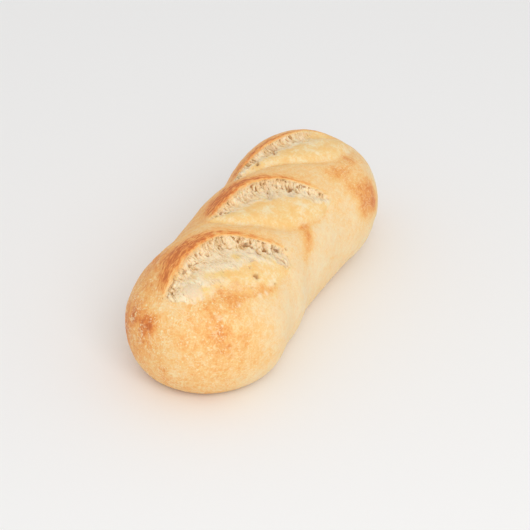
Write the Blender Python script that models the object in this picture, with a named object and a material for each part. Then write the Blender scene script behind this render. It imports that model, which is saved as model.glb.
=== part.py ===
"""A demi baguette with three slashes, in metres, +Z up.

The loaf is one solid. It lies along X, flat on z = 0, with the origin under its middle, and its fuller end is at -X.
Every point of the surface is worked out from a direction on a unit sphere: first the plain loaf, then the three
slashes, each with a raised ear on one side and a torn bed of crumb beside it, and last the lumps of the crust.
"""

import math

import bmesh
import bpy
import numpy as np
from mathutils import Vector, noise

MM = 0.001

# The plain loaf. Each station is a bulge or a waist: its place from -1 to 1 along the loaf, the half width on the
# +Y and on the -Y side, the height, and how far the round section reaches below its widest line, as a share of the
# height. All are before the ends are rounded.
LENGTH = 202 * MM
STATIONS = (
    (-1.00, 40.3 * MM, 40.3 * MM, 66.3 * MM, 0.62),
    (-0.65, 40.5 * MM, 43.9 * MM, 61.4 * MM, 0.63),
    (-0.33, 36.6 * MM, 38.1 * MM, 61.6 * MM, 0.64),
    (-0.08, 37.2 * MM, 34.2 * MM, 62.4 * MM, 0.60),
    (0.17, 35.3 * MM, 34.8 * MM, 61.8 * MM, 0.58),
    (0.58, 38.8 * MM, 39.3 * MM, 61.9 * MM, 0.52),
    (1.00, 39.1 * MM, 33.9 * MM, 55.8 * MM, 0.62),
)
NEAR_BLUNTNESS = (5.2, 4.4)  # of the -X end, on its +Y and its -Y side: 2 is an ellipse, and higher is squarer
FAR_BLUNTNESS = (6.0, 4.4)
SECTION_SQUARENESS = 2.22
WIDEST_AT = 0.45  # the height of the widest line, as a share of the loaf's
BASE_ROUNDING = 3 * MM
BASE_SUNK = 4 * MM  # what hangs lower than this below the tray is flat
SPINE_END = 40 * MM  # how far from each end the spine stops, which the surface rises away from

# The slashes, on the crust unrolled: along X, and around from the top, positive towards +Y. A slash runs from its
# start to its end. Its ear and its near edge bow away from that line, by these millimetres at equal steps along it,
# and it closes over the tapers, as shares of its length, at its start and its end.
GIRTH_RADIUS = 36 * MM
SLASHES = (
    {
        "start": (-88.9, 7.9),
        "end": (-28.4, -34.3),
        "ear": (0, 6.2, 12.9, 18.4, 22.5, 22.2, 17.4, 12.6, 7.6),
        "near": (0, -8.5, -9.4, -10.5, -11.6, -11.0, -9.4, -6.8, -2.5),
        "height": (0, 3.6, 4.6, 4.6, 4.2, 3.4, 2.6, 1.8, 0.8),
        "crease": 0.3,
        "tapers": (0.06, 0.06),
    },
    {
        "start": (-29.4, 14.0),
        "end": (28.8, -30.0),
        "ear": (0, 6.6, 11.4, 16.0, 18.4, 17.4, 12.4, 6.2, 2.0),
        "near": (0, -8.9, -12.7, -16.1, -18.4, -17.0, -13.6, -9.9, -2.0),
        "height": (0, 2.6, 3.8, 4.2, 3.8, 3.0, 2.2, 1.4, 0.6),
        "crease": 1.4,
        "tapers": (0.06, 0.06),
    },
    {
        "start": (9.4, 20.3),
        "end": (88.0, -6.0),
        "ear": (0, 8.9, 11.6, 11.9, 11.6, 10.4, 9.2, 8.2, 4.0),
        "near": (0, -0.8, -3.7, -8.5, -15.3, -19.2, -19.0, -15.4, -8.5),
        "height": (0, 1.2, 2.0, 2.3, 2.4, 2.4, 2.3, 1.9, 0.9),
        "crease": 1.4,
        "tapers": (0.06, 0.12),
    },
)
NUDGE = 0.01  # a small share of a slash's length, over which the ear's slant is measured
CREASE_WIDTH = 3.0 * MM

# The bed, as shares of the way from the near edge (0) to the ear (1).
BED_EDGE = 0.25  # it leaves the crust's level over this share
BED_BULGE = 1.2 * MM
BULGE_SHARE = 0.7  # it swells up to here
BED_HOLLOW = 2.2 * MM
HOLLOW_SHARES = (0.45, 0.95)  # it sinks between these
CRUMB_SHARES = (0.3, 0.55)  # its skin gives way to torn crumb between these

# The lip, across the ear's edge: the distance onto the crust, the sideways shift onto the crust, and how high the
# surface is there between the bed (0) and the ear's top (1). The shift is for an ear of FULL_EAR.
LIP = (
    (-9.0, 0.0, 0.0),
    (-5.0, 0.7, 0.0),
    (-3.2, 1.6, 0.18),
    (-1.8, 1.4, 0.5),
    (-0.8, -0.2, 0.74),
    (0.2, -1.6, 0.92),
    (1.4, -1.3, 1.0),
    (4.0, -0.5, 0.98),
    (9.0, 0.0, 0.78),
    (15.0, 0.0, 0.42),
    (24.0, 0.0, 0.0),
)
FULL_EAR = 4.5 * MM
LIP_REACH = 3.0 * MM  # how far to either side of the ear's edge the surface is finely shaped

# Relief, which fades out towards the tray.
FADE = (2 * MM, 14 * MM)
LUMP_HEIGHT = 0.5 * MM
LUMP_SIZE = 20 * MM
CRAG_HEIGHT = 1.6 * MM
CRAG_SIZE = 4.2 * MM
CRAG_SEED = 5.0
BLISTER_ALONG = -80 * MM
BLISTER_AROUND = -3.5 * MM
BLISTER_RADIUS = 4.5 * MM
BLISTER_HEIGHT = 1.3 * MM

# Mesh.
FIRST_CUTS = 13
REFINE_PASSES = 5
CRUST_EDGE = 6.6 * MM
FINE_EDGE = 2.6 * MM
BASE_EDGE = 14 * MM
ON_BASE = 0.1 * MM

CRUST_COLOUR = (0.80, 0.53, 0.22, 1)
CRUST_ROUGHNESS = 0.75


def smooth_step(low, high, value):
    """0 at low, 1 at high, level beyond them, and a smooth rise between."""
    t = np.clip((value - low) / (high - low), 0, 1)
    return t * t * (3 - 2 * t)


def between(places, values, at):
    """Values from place to place, smoothly, level at each place."""
    places, values = np.asarray(places), np.asarray(values)
    i = np.clip(np.searchsorted(places, at) - 1, 0, len(places) - 2)
    return values[i] + (values[i + 1] - values[i]) * smooth_step(places[i], places[i + 1], at)


def flowing(places, values, at):
    """Values from place to place, along a curve through all of them."""
    places, values = np.asarray(places, float), np.asarray(values, float)
    slopes = np.gradient(values, places)
    i = np.clip(np.searchsorted(places, at) - 1, 0, len(places) - 2)
    gap = places[i + 1] - places[i]
    t = np.clip((at - places[i]) / gap, 0, 1)
    from_start = (2 * t**3 - 3 * t**2 + 1) * values[i] + (t**3 - 2 * t**2 + t) * gap * slopes[i]
    to_end = (3 * t**2 - 2 * t**3) * values[i + 1] + (t**3 - t**2) * gap * slopes[i + 1]
    return from_start + to_end


def noise_at(points, size, seed=0.0):
    """Smooth noise between -1 and 1, with bumps of about this size."""
    shift = Vector((seed, 1.7 * seed, -0.6 * seed))
    return np.array([noise.noise(Vector(p) / size + shift) for p in points])


def on_tray(z):
    """Flattens what would hang below the tray, with a rounded edge."""
    lifted = (z + np.sqrt(z * z + BASE_ROUNDING**2)) / 2
    sunk = (math.hypot(BASE_SUNK, BASE_ROUNDING) - BASE_SUNK) / 2
    return np.maximum(lifted - sunk, 0)


def plain_loaf(directions):
    """The plain loaf's points for directions on a unit sphere, and how far around from the top each is."""
    along = directions[:, 0]
    angle = np.arctan2(directions[:, 1], directions[:, 2])
    across, up = np.sin(angle), np.cos(angle)

    plus, minus = np.where(along < 0, np.array([NEAR_BLUNTNESS]).T, np.array([FAR_BLUNTNESS]).T)
    bluntness = (plus + minus) / 2 + (plus - minus) / 2 * across
    share = np.sqrt(np.clip(1 - np.abs(along) ** bluntness, 0, 1))
    n = SECTION_SQUARENESS
    reach = share * (np.abs(across) ** n + np.abs(up) ** n) ** (-1 / n)

    places, plus_widths, minus_widths, heights, drops = zip(*STATIONS)
    half_width = np.where(across > 0, between(places, plus_widths, along), between(places, minus_widths, along))
    height = between(places, heights, along)
    middle = WIDEST_AT * height
    drop = height * between(places, drops, along)
    z = middle + up * reach * np.where(up > 0, height - middle, drop)
    points = np.stack([LENGTH / 2 * along, half_width * across * reach, on_tray(z)], axis=1)
    return points, angle * GIRTH_RADIUS * share


def outward_at(points):
    """Unit vectors away from a spine inside the loaf."""
    spine = np.zeros_like(points)
    spine[:, 0] = np.clip(points[:, 0], SPINE_END - LENGTH / 2, LENGTH / 2 - SPINE_END)
    spine[:, 2] = WIDEST_AT * STATIONS[0][3]
    out = points - spine
    return out / np.linalg.norm(out, axis=1, keepdims=True)


def slash_axes(slash):
    """A slash's start and length in metres, and its direction on the unrolled crust."""
    start = np.array(slash["start"]) * MM
    chord = np.array(slash["end"]) * MM - start
    length = np.linalg.norm(chord)
    return start, length, chord / length


def bed_level(open_share):
    """How far the bed lies above the plain loaf, from its near edge (0) to the ear (1)."""
    swell = BED_BULGE * np.sin(math.pi * np.clip(open_share / BULGE_SHARE, 0, 1))
    hollow = BED_HOLLOW * smooth_step(*HOLLOW_SHARES, open_share)
    return (swell - hollow) * smooth_step(0, BED_EDGE, open_share)


def add_slash(slash, points, around, out):
    """Raises the ear and shapes the bed beside it. Gives the points' moves, and how much each is crumb or lip."""
    start, length, (ux, uv) = slash_axes(slash)
    dx, dv = points[:, 0] - start[0], around - start[1]
    lengthwise = (dx * ux + dv * uv) / length
    crosswise = dv * ux - dx * uv
    steps = np.linspace(0, 1, len(slash["ear"]))
    ear = flowing(steps, slash["ear"], lengthwise) * MM
    near = flowing(steps, slash["near"], lengthwise) * MM
    height = np.maximum(flowing(steps, slash["height"], lengthwise), 0) * MM
    first, last = slash["tapers"]
    ends = smooth_step(0, first, lengthwise) * smooth_step(1, 1 - last, lengthwise)

    slope = (flowing(steps, slash["ear"], lengthwise + NUDGE) * MM - ear) / (NUDGE * length)
    past_ear = (crosswise - ear) / np.sqrt(1 + slope**2)
    open_share = (crosswise - near) / np.maximum(ear - near, MM)

    distances, shifts, shares = (np.array(column) for column in zip(*LIP))
    share = between(distances * MM, shares, past_ear)
    foot = np.where(past_ear < 0, bed_level(open_share) * ends, 0)
    crease = slash["crease"] * MM * np.exp(-(((crosswise - near) / CREASE_WIDTH) ** 2)) * ends
    rise = foot + (height - foot) * share - crease
    shift = flowing(distances * MM, shifts * MM, past_ear) * np.minimum(height / FULL_EAR, 1)

    sideways = np.cross(out, [1.0, 0.0, 0.0])
    moves = rise[:, None] * out + shift[:, None] * (ux * sideways - uv * np.array([1.0, 0.0, 0.0]))
    crumb = smooth_step(*CRUMB_SHARES, open_share) * smooth_step(0, -LIP_REACH, past_ear) * ends
    lip = np.exp(-((past_ear / LIP_REACH) ** 2)) * ends
    return moves, crumb, lip


def blister_rise(along, around):
    """The height of the one large blister, which lies in the first slash."""
    distance = np.hypot(along - BLISTER_ALONG, around - BLISTER_AROUND) / BLISTER_RADIUS
    return BLISTER_HEIGHT * np.sqrt(np.clip(1 - distance**2, 0, 1))


def loaf_surface(directions):
    """The finished surface's points for directions on a unit sphere, and how fine it is there, from 0 to 1."""
    plain, around = plain_loaf(directions)
    out = outward_at(plain)
    fade = smooth_step(*FADE, plain[:, 2])
    points = plain.copy()
    crumb, fine = np.zeros(len(points)), np.zeros(len(points))
    for slash in SLASHES:
        moves, opened, lip = add_slash(slash, plain, around, out)
        points += moves * fade[:, None]
        crumb = np.maximum(crumb, opened)
        fine = np.maximum(fine, np.maximum(opened, lip))

    lumps = LUMP_HEIGHT * noise_at(plain, LUMP_SIZE)
    crags = CRAG_HEIGHT * crumb * noise_at(plain, CRAG_SIZE, CRAG_SEED)
    rise = fade * (lumps + crags + blister_rise(plain[:, 0], around))
    return points + rise[:, None] * out, fine


def directions_of(bm):
    """The mesh's vertices as directions."""
    return np.array([v.co.normalized() for v in bm.verts])


def wanted_edge(points, fine):
    """The longest edge that the surface takes at each point."""
    edge = CRUST_EDGE + (FINE_EDGE - CRUST_EDGE) * smooth_step(0.1, 0.6, fine)
    return np.where(points[:, 2] < ON_BASE, BASE_EDGE, edge)


def refine(bm):
    """Splits the edges that the loaf's surface stretches too long."""
    for _ in range(REFINE_PASSES):
        points, fine = loaf_surface(directions_of(bm))
        wanted = wanted_edge(points, fine)
        bm.verts.index_update()
        ends = np.array([[v.index for v in e.verts] for e in bm.edges])
        lengths = np.linalg.norm(points[ends[:, 0]] - points[ends[:, 1]], axis=1)
        too_long = lengths > wanted[ends].min(axis=1)
        if not too_long.any():
            break
        long_edges = [edge for edge, is_long in zip(bm.edges, too_long) if is_long]
        bmesh.ops.subdivide_edges(bm, edges=long_edges, cuts=1)
        bmesh.ops.triangulate(bm, faces=bm.faces[:])


def crust_material():
    material = bpy.data.materials.new("crust")
    material.use_nodes = True
    shader = material.node_tree.nodes["Principled BSDF"]
    shader.inputs["Base Color"].default_value = CRUST_COLOUR
    shader.inputs["Roughness"].default_value = CRUST_ROUGHNESS
    shader.inputs["Metallic"].default_value = 0
    return material


def build_loaf():
    """A cube cut into a grid and refined, whose vertices are then pulled onto the loaf's surface."""
    bm = bmesh.new()
    bmesh.ops.create_cube(bm, size=2)
    bmesh.ops.subdivide_edges(bm, edges=bm.edges[:], cuts=FIRST_CUTS, use_grid_fill=True)
    refine(bm)
    points, _ = loaf_surface(directions_of(bm))
    points[:, :2] -= (points.min(axis=0) + points.max(axis=0))[:2] / 2
    for vertex, point in zip(bm.verts, points):
        vertex.co = point
    bmesh.ops.recalc_face_normals(bm, faces=bm.faces[:])
    mesh = bpy.data.meshes.new("loaf")
    bm.to_mesh(mesh)
    bm.free()
    mesh.shade_smooth()
    mesh.materials.append(crust_material())
    return bpy.data.objects.new("loaf", mesh)


def main():
    for old in list(bpy.data.objects):
        bpy.data.objects.remove(old)
    parts = bpy.data.collections.new("demi_baguette")
    bpy.context.scene.collection.children.link(parts)
    parts.objects.link(build_loaf())


main()
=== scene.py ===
"""The looks of a demi baguette: fine crust, torn crumb and the scene around them.

The loaf is one skin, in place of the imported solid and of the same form. Every point of it is worked
out from a direction on a unit sphere: the plain loaf, then the three slashes with their ears, and then
relief along the surface's own normal. The same functions say how baked, how torn and how deep each
point is, which the material reads.
"""

import math

import bmesh
import bpy
import numpy as np
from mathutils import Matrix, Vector, noise


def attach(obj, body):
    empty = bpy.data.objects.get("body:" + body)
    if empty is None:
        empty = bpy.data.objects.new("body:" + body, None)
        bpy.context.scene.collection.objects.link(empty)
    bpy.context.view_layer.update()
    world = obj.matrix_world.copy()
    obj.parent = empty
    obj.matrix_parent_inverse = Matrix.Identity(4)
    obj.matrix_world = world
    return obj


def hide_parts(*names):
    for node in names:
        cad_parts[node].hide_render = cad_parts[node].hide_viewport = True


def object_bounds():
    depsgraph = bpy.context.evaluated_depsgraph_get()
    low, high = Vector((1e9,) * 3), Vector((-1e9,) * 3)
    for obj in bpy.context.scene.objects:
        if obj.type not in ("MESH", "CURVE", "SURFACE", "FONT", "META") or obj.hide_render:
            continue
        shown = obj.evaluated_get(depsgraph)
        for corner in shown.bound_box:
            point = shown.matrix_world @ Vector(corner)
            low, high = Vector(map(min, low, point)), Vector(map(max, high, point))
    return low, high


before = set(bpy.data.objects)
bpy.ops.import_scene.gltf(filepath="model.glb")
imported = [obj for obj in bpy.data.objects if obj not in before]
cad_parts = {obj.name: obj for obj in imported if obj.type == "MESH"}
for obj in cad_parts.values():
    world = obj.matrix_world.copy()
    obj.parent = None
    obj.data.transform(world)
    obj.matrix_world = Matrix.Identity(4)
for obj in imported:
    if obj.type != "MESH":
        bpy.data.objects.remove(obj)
cad_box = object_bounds()

MM = 0.001

# The plain loaf, as in the solid. Each station is a bulge or a waist: its place from -1 to 1 along the
# loaf, the half width on the +Y and on the -Y side, the height, and how far the round section reaches
# below its widest line, as a share of the height. All are before the ends are rounded.
LENGTH = 202 * MM
STATIONS = (
    (-1.00, 40.3 * MM, 40.3 * MM, 66.3 * MM, 0.62),
    (-0.65, 40.5 * MM, 43.9 * MM, 61.4 * MM, 0.63),
    (-0.33, 36.6 * MM, 38.1 * MM, 61.6 * MM, 0.64),
    (-0.08, 37.2 * MM, 34.2 * MM, 62.4 * MM, 0.60),
    (0.17, 35.3 * MM, 34.8 * MM, 61.8 * MM, 0.58),
    (0.58, 38.8 * MM, 39.3 * MM, 61.9 * MM, 0.52),
    (1.00, 39.1 * MM, 33.9 * MM, 55.8 * MM, 0.62),
)
# How blunt each end is, on its +Y and its -Y side: 2 is an ellipse, and higher is squarer.
NEAR_BLUNTNESS = (5.2, 4.4)
FAR_BLUNTNESS = (6.0, 4.4)
SECTION_SQUARENESS = 2.22
WIDEST_AT = 0.45  # of the height
BASE_ROUNDING = 3 * MM
BASE_SUNK = 4 * MM  # what would reach this far below the tray lies flat on it
SPINE_END = 40 * MM  # from each end, the spine that the surface faces away from

# The slashes, on the crust unrolled: along X, and around from the top, positive towards +Y, in
# millimetres. The ear and the near edge bow away from the line between the ends, by these millimetres at
# equal steps along it. At equal steps too are the ear's height, how brown the near edge's fold is, the
# browned lip's width, the share of the way to the ear at which the crumb begins, and how brown the lip
# is. The crease is the near edge's depth, and the tapers are the shares of the length over which the two
# ends open.
GIRTH_RADIUS = 36 * MM  # turns angles around the loaf into lengths
SLASHES = (
    {
        "start": (-88.9, 7.9),
        "end": (-28.4, -34.3),
        "ear": (0, 6.2, 12.9, 18.4, 22.5, 22.2, 17.4, 12.6, 7.6),
        "near": (0, -8.5, -9.4, -10.5, -11.6, -11.0, -9.4, -6.8, -2.5),
        "height": (0, 3.6, 4.6, 4.6, 4.2, 3.4, 2.6, 1.8, 0.8),
        "crease": 0.3,
        "fold": (0, 0, 0, 0.1, 0.5, 0.3, 0.8, 0.6, 0.2),
        "tapers": (0.06, 0.06),
        "lip_width": (3.2, 4.2, 4.8, 4.4, 2.8, 1.6, 1.3, 1.1, 1.0),
        "torn_from": (-0.1, -0.1, 0.02, 0.2, 0.3, 0.34, 0.34, 0.28, 0.1),
        "toast": (0.3, 0.85, 1.0, 1.0, 0.9, 0.8, 0.75, 0.6, 0.3),
    },
    {
        "start": (-29.4, 14.0),
        "end": (28.8, -30.0),
        "ear": (0, 6.6, 11.4, 16.0, 18.4, 17.4, 12.4, 6.2, 2.0),
        "near": (0, -8.9, -12.7, -16.1, -18.4, -17.0, -13.6, -9.9, -2.0),
        "height": (0, 2.6, 3.8, 4.2, 3.8, 3.0, 2.2, 1.4, 0.6),
        "crease": 1.4,
        "fold": (0, 0, 0.1, 0.2, 0.3, 0.6, 1.0, 0.8, 0.3),
        "tapers": (0.06, 0.06),
        "lip_width": (4.0, 4.6, 4.2, 3.2, 2.2, 1.5, 1.2, 1.1, 1.0),
        "torn_from": (0.4, 0.45, 0.5, 0.55, 0.55, 0.5, 0.45, 0.35, 0.3),
        "toast": (0.4, 0.9, 1.0, 1.0, 0.95, 0.8, 0.6, 0.4, 0.2),
    },
    {
        "start": (9.4, 20.3),
        "end": (88.0, -6.0),
        "ear": (0, 8.9, 11.6, 11.9, 11.6, 10.4, 9.2, 8.2, 4.0),
        "near": (0, -0.8, -3.7, -8.5, -15.3, -19.2, -19.0, -15.4, -8.5),
        "height": (0, 1.2, 2.0, 2.3, 2.4, 2.4, 2.3, 1.9, 0.9),
        "crease": 1.4,
        "fold": (0.5, 0.7, 0.9, 0.8, 0.6, 0.3, 0.1, 0, 0),
        "tapers": (0.06, 0.12),
        "lip_width": (1.6, 2.2, 2.4, 2.2, 1.8, 1.4, 1.1, 1.0, 1.0),
        "torn_from": (0.15, 0.15, 0.25, 0.4, 0.5, 0.6, 0.7, 1.1, 1.2),
        "toast": (0.3, 0.5, 0.5, 0.55, 0.6, 0.6, 0.5, 0.5, 0.2),
    },
)
NUDGE = 0.01  # the step, as a share of the length, over which the ear's slope is measured
EDGE_WANDER = 0.45 * MM  # how far the ear's edge strays to either side
EDGE_WANDER_SIZE = 3.6 * MM
EDGE_WANDER_STEPS = 300
CRUMB_EDGE_WANDER = 0.12  # the same for the crumb's lower edge, as a share of the way to the ear
CRUMB_END_WANDER = 0.03  # and for its far end, as a share of the slash's length
CRUMB_WANDER_SIZE = 2.4 * MM
CRUMB_END = (0.99, 0.93)  # the crumb thins out between these shares of the slash's length
WALL_TOP = 0.2 * MM  # past the ear's edge, where the wall under it stops climbing
CREASE_WIDTH = 3.0 * MM
FOLD_AT = -0.6 * MM  # the browned fold, from the near edge
FOLD_WIDTH = 1.1 * MM
BED_EDGE = 0.25
BED_BULGE = 1.2 * MM
BULGE_SHARE = 0.7
BED_HOLLOW = 2.2 * MM
HOLLOW_SHARES = (0.45, 0.95)

# The lip, across the ear's edge: the distance onto the crust, the sideways shift onto the crust, and how
# high the surface is there between the bed (0) and the ear's top (1). The shift is for an ear of
# FULL_EAR.
LIP = (
    (-9.0, 0.0, 0.0),
    (-5.0, 0.7, 0.0),
    (-3.2, 1.6, 0.18),
    (-1.8, 1.4, 0.5),
    (-0.8, -0.2, 0.74),
    (0.2, -1.6, 0.92),
    (1.4, -1.3, 1.0),
    (4.0, -0.5, 0.98),
    (9.0, 0.0, 0.78),
    (15.0, 0.0, 0.42),
    (24.0, 0.0, 0.0),
)
FULL_EAR = 4.5 * MM
LIP_REACH = 3 * MM  # how far the lip, and its finer mesh, reach to either side of the ear's edge

# The lip's browning: round the rim, where it is ragged, and over the ear behind it.
RIM_TOAST = 0.34
RIM_MIDDLE = 0.6  # as a share of the lip's width, like the two spreads
RIM_SPREADS = (0.85, 1.0)  # below its middle and above it
LEAST_LIP_WIDTH = 0.8  # in millimetres, like the row of widths
BEHIND_TOAST = 0.16
FOLD_TOAST = 0.24
STREAKED = (0.04, 0.25)  # the lip is streaked, and free of speckles, where it is this much browner
# The crumb turns golden this far below the ear's edge, and by this share of the lip's width.
GOLDEN = (0.5 * MM, 0.48)

# Torn crumb. Strands run across each slash, with rounded cells between them, more open on the wall under
# the ear.
STRAND_SIZE = (2.0 * MM, 8.0 * MM)  # along and across the slash
STRAND_HEIGHT = 0.7 * MM
THREAD_SIZE = (1.1 * MM, 6.0 * MM)
THREAD_HEIGHT = 0.3 * MM
STRAND_WANDER = 1.2 * MM
STRAND_WANDER_SIZE = 7.0 * MM
CREVICE_SIZE = (1.9 * MM, 8.0 * MM)
CREVICE_DEPTH = 0.6 * MM
CREVICE_SHARE = 0.08  # of a smooth noise's range, which sets how wide the crevices are
CELL_SIZES = (0.8 * MM, 1.3 * MM)
CELL_SQUEEZE = 0.36  # how narrow the cells are, against how long they are across the slash
CELL_DEPTH = 0.9 * MM
CELL_WARP = 1.2 * MM
CELL_SHARES = (0.12, 0.45)  # how many of the cells are open, on the bed and on the wall
# How dark the painted shade in the open cells is.
CELL_SHADE = 0.75
WALL = (-9.5 * MM, -4.0 * MM)  # before the ear's edge, the wall begins over this distance
WALL_END = (1, 0.85)  # and it ends over these shares of the slash's length
# The wall's darker colour is painted shade under the ear.
WALL_SHADE = 0.12  # how much darker it is than the bed
RIM_CALM = 0.8  # how much less torn the golden rim is than the wall below it
TORN_LEAST = 0.45  # how torn the bed is, as a share of the wall
# Painted shade: the crumb's colour turns darker where it lies lower.
SHADE_OF_HEIGHT = 0.42  # how much lighter the crumb is for each millimetre that it lies higher
LUMP_HEIGHT = 0.5 * MM
LUMP_SIZE = 20 * MM
CRUMB_LUMP_HEIGHT = 0.55 * MM
CRUMB_LUMP_SIZE = 4.5 * MM
CRUMB_GRAIN = (0.15 * MM, 1.1 * MM)  # height and size
CRUST_RELIEF = ((0.12 * MM, 4.5 * MM, 6.0), (0.05 * MM, 2.2 * MM, 7.0))  # height, size and seed
FADE = (2 * MM, 14 * MM)  # relief sets in between these heights above the tray

# Holes in the crumb: along, around, half length and half width, in millimetres, the turn of the long side
# from X in degrees, and the depth in millimetres, which also sets how dark their painted shade is. Around
# is measured up the walls under the ears too.
HOLES = (
    (-36.8, -10.6, 2.2, 1.2, -55, 2.4),
    (-36.2, -13.4, 1.9, 0.7, -85, 1.7),
    (-40.0, -9.0, 1.4, 0.4, -87, 0.9),
    (-41.0, -2.6, 1.6, 0.2, 56, 0.9),
    (-43.0, -4.5, 1.6, 0.8, -61, 1.2),
    (-52.5, 2.0, 1.1, 0.7, 37, 1.5),
    (-49.0, -2.5, 3.3, 0.4, 64, 0.9),
    (-63.5, 5.9, 0.6, 0.5, -13, 1.2),
    (-61.0, 3.8, 2.2, 0.4, -21, 1.2),
    (-69.5, 6.0, 1.9, 0.7, 1, 1.0),
    (-79.5, 7.8, 4.4, 0.8, 5, 0.8),
    (-87.0, 8.6, 0.7, 0.4, 48, 1.0),
    (-33.5, -19.5, 1.4, 1.0, -50, 1.6),
    (-29.0, -24.1, 1.3, 0.6, -84, 1.5),
    (-24.5, -25.6, 1.2, 0.7, 45, 1.5),
    (-34.5, -30.0, 2.1, 0.4, -81, 1.0),
    (-27.0, -29.3, 0.5, 0.3, 35, 0.8),
    (-51.5, -17.0, 0.8, 0.6, 74, 0.8),
    (-53.5, -21.5, 1.9, 1.1, -55, 2.0),
    (-47.0, -31.5, 0.9, 0.5, -29, 1.1),
    (-70.0, -11.5, 0.7, 0.5, 6, 0.7),
    (-62.5, -9.0, 0.4, 0.3, 20, 0.7),
    (-60.0, -22.5, 0.9, 0.6, -19, 0.7),
    (-29.0, -32.5, 1.1, 0.6, -4, 0.7),
    (-36.5, -17.0, 1.6, 0.6, 46, 0.9),
    (-33.5, -20.5, 4.6, 0.6, -82, 1.4),
    (-32.5, -28.5, 4.6, 0.6, -88, 1.4),
    (-42.0, -5.5, 3.0, 0.35, -72, 1.0),
    (-29.5, -22.5, 2.6, 0.4, -70, 1.1),
    (17.0, -9.3, 1.7, 1.0, -26, 2.0),
    (20.0, -11.8, 0.9, 0.5, -87, 1.2),
    (22.0, -13.4, 1.4, 0.6, -81, 1.2),
    (25.5, -19.4, 0.8, 0.3, -56, 0.8),
    (28.0, -23.8, 1.3, 0.3, -44, 0.6),
    (27.0, -27.3, 0.6, 0.4, 9, 0.9),
    (6.5, 5.7, 0.6, 0.4, -14, 1.2),
    (-5.0, 8.7, 0.6, 0.5, 17, 0.9),
    (-1.5, 7.4, 0.9, 0.4, 64, 0.9),
    (2.5, 5.7, 1.2, 0.5, 79, 0.9),
    (-5.0, 7.7, 0.9, 0.4, 40, 0.8),
    (-12.0, 11.9, 0.5, 0.4, -39, 0.8),
    (-18.5, 13.9, 1.6, 0.5, -3, 1.3),
    (9.0, -0.8, 0.7, 0.3, 26, 0.8),
    (-0.5, -7.8, 1.2, 0.6, 47, 1.2),
    (-4.0, -7.8, 1.6, 0.6, 88, 0.8),
    (30.0, 18.2, 3.0, 1.0, 46, 1.8),
    (25.5, 18.5, 0.6, 0.4, -33, 1.1),
    (32.5, 25.9, 0.6, 0.3, 19, 0.8),
    (46.0, 15.6, 3.5, 0.7, 30, 1.2),
    (46.0, 13.5, 2.0, 0.4, 30, 1.0),
    (60.5, 10.2, 1.0, 0.5, 7, 1.5),
    (62.5, 5.7, 1.9, 0.9, 18, 1.4),
    (64.5, 4.2, 2.0, 0.4, 23, 1.1),
    (54.5, 15.6, 0.4, 0.3, -24, 0.8),
    (42.0, 22.7, 0.4, 0.3, -34, 0.8),
    (60.0, 12.9, 0.5, 0.4, 2, 0.6),
)
# Yellow skin over the crumb, and soft hollows in it, whose grey is painted shade, in the same way but
# without a depth.
FILMS = (
    (-49.0, -10.0, 2.9, 1.8, 5),
    (-62.5, -11.5, 8.8, 2.2, -49),
    (-46.5, -22.0, 3.3, 1.9, -11),
    (-66.5, -15.0, 5.5, 1.5, -58),
    (-44.5, -28.0, 3.6, 1.6, -36),
    (-69.5, -13.0, 5.5, 2.4, -40),
    (31.0, 19.5, 4.5, 1.6, 45),
    (41.0, 16.5, 4.0, 1.2, 35),
    (-60.0, -22.5, 6.5, 2.6, -48),
    (-50.5, -30.5, 4.5, 1.8, -38),
    (-38.5, -26.0, 3.6, 1.6, -80),
    (-5.5, -15.3, 9.0, 5.1, -43),
    (-20.5, -0.1, 6.2, 2.1, -53),
    (-76.0, -7.5, 3.6, 1.6, -35),
)
HOLLOWS = (
    (-46.5, -16.5, 2.2, 1.2, 0),
    (-53.0, -21.0, 2.1, 1.3, -14),
    (-38.5, -16.5, 2.5, 1.7, 52),
    (-34.0, -28.0, 3.8, 2.1, 85),
    (-60.5, -22.5, 1.7, 1.2, -20),
    (3.5, -3.8, 9.0, 2.0, 33),
    (13.0, -11.3, 4.2, 2.0, 25),
    (41.0, 12.2, 4.7, 1.7, 38),
    (50.5, 17.9, 3.2, 1.1, -55),
    (-40.5, -14.5, 2.8, 1.2, -60),
    (-28.5, -24.5, 3.0, 1.3, -60),
)
HOLLOW_DEPTH = 0.7 * MM
HOLE_WANDER = 0.55  # how uneven a hole's rim is, as a share of its size
FILM_CALM = 0.75  # how much flatter the crumb is under a film
BLISTER_CALM = 0.85  # and under a blister

# Blisters, raised from the surface: along, around, radius and height in millimetres, and how pale.
BLISTERS = (
    (-80.0, -3.5, 4.2, 1.5, 0.8),
    (-61.0, -27.0, 1.5, 0.35, 0.8),
    (-57.0, -29.0, 1.2, 0.35, 0.9),
    (-73.5, -22.0, 1.1, 0.3, 0.7),
    (-78.5, -22.5, 0.9, 0.25, 0.8),
    (-85.0, -18.5, 1.0, 0.25, 0.7),
    (-90.0, -17.0, 0.9, 0.25, 0.6),
    (6.0, -20.0, 2.3, 0.35, 0.0),
)

# How brown the crust is. It is paler on the -Y side and browner on the +Y side, at both ends and by the
# tray, each growing from the first place to the second, to the last number. On the +Y side the browning is
# partly baked colour and partly painted shade on the side away from the light.
CRUST_TOAST = 0.36
PALE_SIDE = (-19 * MM, -31 * MM, 0.17)
PALE_SIDE_LOSS = 0.6  # how much less pale that side is at the near end
BROWN_AND_SHADED_SIDE = (6 * MM, 26 * MM, 0.18)
BROWN_NEAR_END = (-72 * MM, -92 * MM, 0.06)
BROWN_FAR_END = (60 * MM, 92 * MM, 0.04)
BROWN_BY_TRAY = (5 * MM, 0, 0.12)
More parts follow.
